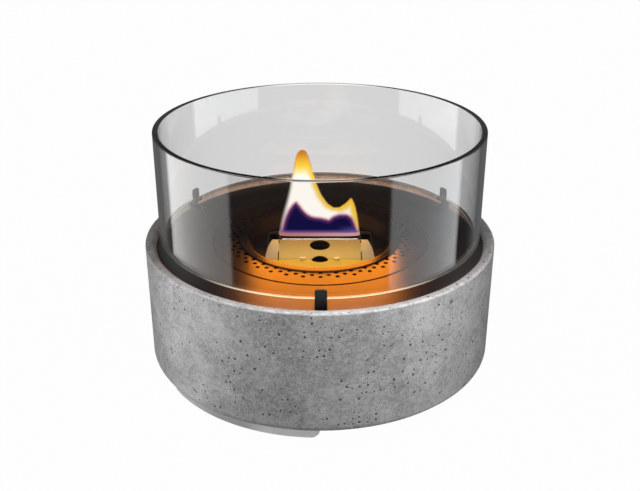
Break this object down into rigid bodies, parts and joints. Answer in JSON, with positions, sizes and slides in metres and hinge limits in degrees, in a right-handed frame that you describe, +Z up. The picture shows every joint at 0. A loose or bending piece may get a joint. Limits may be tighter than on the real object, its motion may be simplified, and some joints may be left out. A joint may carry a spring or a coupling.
{
  "type": "tabletop fire pit",
  "caption": "Round tabletop fire pit: a cast-concrete bowl with a dark deck, a clear glass cylinder held above it on clips, and a lift-out liquid-fuel burner with a slotted cover.",
  "frame": {"origin": "on the table, under the middle of the bowl", "axes": "+Z up along the axis of the bowl and glass, +X along the flame slot, the front is -Y"},
  "size_m": [0.328, 0.328, 0.23],
  "materials": {
    "concrete": "matte cast concrete with small pits",
    "grey_rubber": "matte",
    "black_rubber": "matte",
    "dark_enamel": "dark satin enamel",
    "black_enamel": "black satin enamel",
    "clear_glass": "clear, polished edges",
    "screw_steel": "bright zinc",
    "burner_steel": "brushed",
    "cover_steel": "brushed, gold in the light of the flame",
    "fibre": "felted mineral fibre"
  },
  "bodies": {
    "bowl": {"concrete_bowl": "concrete", "bowl_floor": "concrete", "foot_pad_left": "grey_rubber", "foot_pad_right": "grey_rubber", "foot_pad_rear": "grey_rubber", "ledge_seal": "black_rubber", "deck_plate": "dark_enamel", "glass_clip_front": "black_enamel", "glass_clip_left": "black_enamel", "glass_clip_right": "black_enamel", "clip_liner_front": "black_rubber", "clip_liner_left": "black_rubber", "clip_liner_right": "black_rubber", "clip_screws": "black_enamel", "clip_nuts": "screw_steel"},
    "glass": {"glass_cylinder": "clear_glass"},
    "ring": {"vent_ring": "dark_enamel"},
    "burner": {"burner_dish": "dark_enamel", "fuel_tank": "burner_steel", "tank_seal": "black_rubber", "tank_screws": "screw_steel", "fibre_core": "fibre", "wick": "fibre", "wick_holder": "burner_steel", "holder_screws": "screw_steel"},
    "cover": {"burner_cover": "cover_steel", "slot_collar": "burner_steel"}
  },
  "joints": [
    {"name": "glass_lift", "type": "slide", "parent": "bowl", "child": "glass", "axis": [0, 0, 1], "range_m": [0, 0.12]},
    {"name": "ring_lift", "type": "slide", "parent": "bowl", "child": "ring", "axis": [0, 0, 1], "range_m": [0, 0.12]},
    {"name": "burner_lift", "type": "slide", "parent": "ring", "child": "burner", "axis": [0, 0, 1], "range_m": [0, 0.19]},
    {"name": "cover_lift", "type": "slide", "parent": "burner", "child": "cover", "axis": [0, 0, 1], "range_m": [0, 0.13]}
  ]
}
